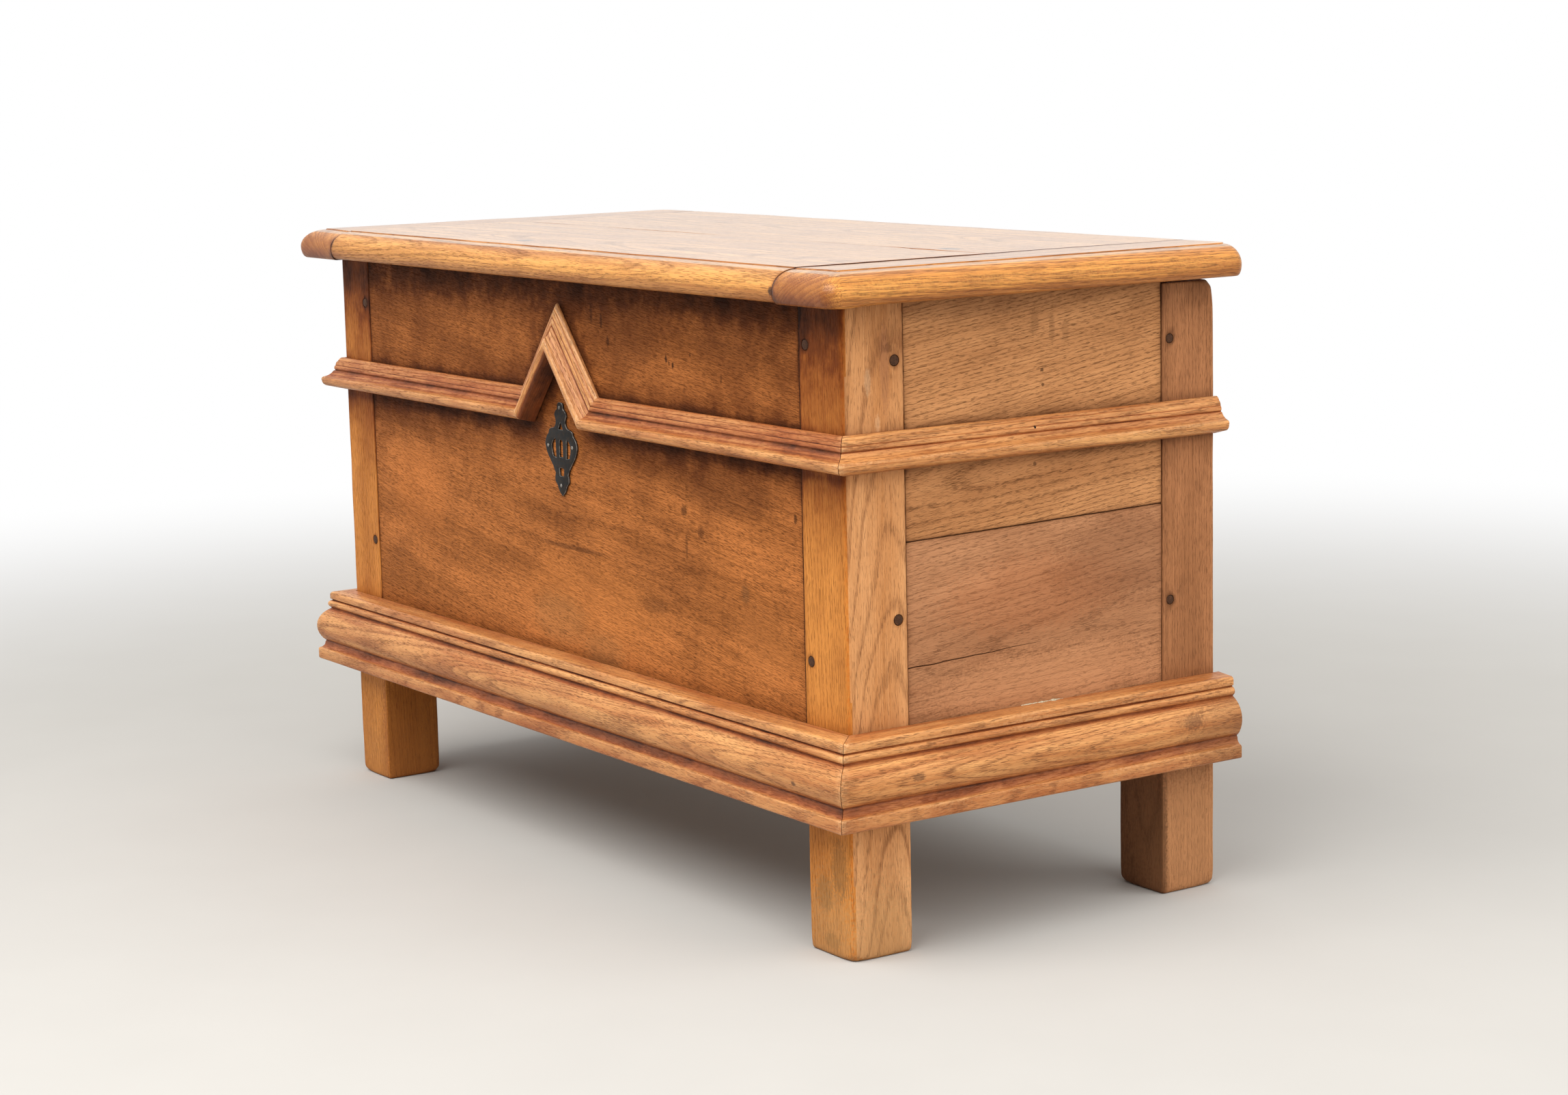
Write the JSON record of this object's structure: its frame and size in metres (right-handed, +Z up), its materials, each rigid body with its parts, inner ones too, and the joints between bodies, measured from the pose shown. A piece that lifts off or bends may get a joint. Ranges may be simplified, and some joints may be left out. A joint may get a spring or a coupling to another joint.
{
  "type": "storage chest",
  "caption": "Joined oak storage chest on post feet, with a moulded base, a middle moulding that rises in a chevron, a pierced iron escutcheon and a hinged lid.",
  "frame": {"origin": "on the floor, under the middle of the closed chest's outline", "axes": "+X to the right end as seen from the front, +Y to the back, +Z up; the front with the escutcheon faces -Y"},
  "size_m": [0.968, 0.438, 0.574],
  "materials": {
    "post_oak": "waxed, golden brown",
    "panel_oak": "waxed, reddish brown",
    "moulding_oak": "waxed, orange brown with dark quirks",
    "lid_oak": "polished, golden brown",
    "inner_oak": "sawn and unfinished",
    "peg_oak": "dark end grain",
    "iron": "blackened, worn at the edges"
  },
  "bodies": {
    "case": {"front_left_post": "post_oak", "front_right_post": "post_oak", "rear_left_post": "post_oak", "rear_right_post": "post_oak", "front_left_post_front_upper_peg": "peg_oak", "front_left_post_front_lower_peg": "peg_oak", "front_left_post_end_upper_peg": "peg_oak", "front_left_post_end_lower_peg": "peg_oak", "front_right_post_front_upper_peg": "peg_oak", "front_right_post_front_lower_peg": "peg_oak", "front_right_post_end_upper_peg": "peg_oak", "front_right_post_end_lower_peg": "peg_oak", "rear_left_post_back_upper_peg": "peg_oak", "rear_left_post_back_lower_peg": "peg_oak", "rear_left_post_end_upper_peg": "peg_oak", "rear_left_post_end_lower_peg": "peg_oak", "rear_right_post_back_upper_peg": "peg_oak", "rear_right_post_back_lower_peg": "peg_oak", "rear_right_post_end_upper_peg": "peg_oak", "rear_right_post_end_lower_peg": "peg_oak", "front_board": "panel_oak", "back_lower_board": "panel_oak", "back_upper_board": "panel_oak", "left_end_lower_board": "panel_oak", "left_end_upper_board": "panel_oak", "right_end_lower_board": "panel_oak", "right_end_upper_board": "panel_oak", "floor_board_1": "inner_oak", "floor_board_2": "inner_oak", "floor_board_3": "inner_oak", "front_floor_ledge": "inner_oak", "back_floor_ledge": "inner_oak", "left_floor_ledge": "inner_oak", "right_floor_ledge": "inner_oak", "base_moulding_front": "moulding_oak", "base_moulding_left": "moulding_oak", "base_moulding_right": "moulding_oak", "middle_moulding_front_left": "moulding_oak", "middle_moulding_front_right": "moulding_oak", "middle_moulding_left": "moulding_oak", "middle_moulding_right": "moulding_oak", "chevron_left": "moulding_oak", "chevron_right": "moulding_oak", "escutcheon": "iron", "left_hinge_case_leaf": "iron", "right_hinge_case_leaf": "iron", "left_hinge_pin": "iron", "right_hinge_pin": "iron"},
    "lid": {"lid_front_board": "lid_oak", "lid_back_board": "lid_oak", "lid_end_left": "lid_oak", "lid_end_right": "lid_oak", "left_hinge_lid_leaf": "iron", "right_hinge_lid_leaf": "iron"}
  },
  "joints": [
    {"name": "lid_hinge", "type": "hinge", "parent": "case", "child": "lid", "pos_m": [0, 0.213, 0.544], "axis": [-1, 0, 0], "range_deg": [0, 105]}
  ]
}
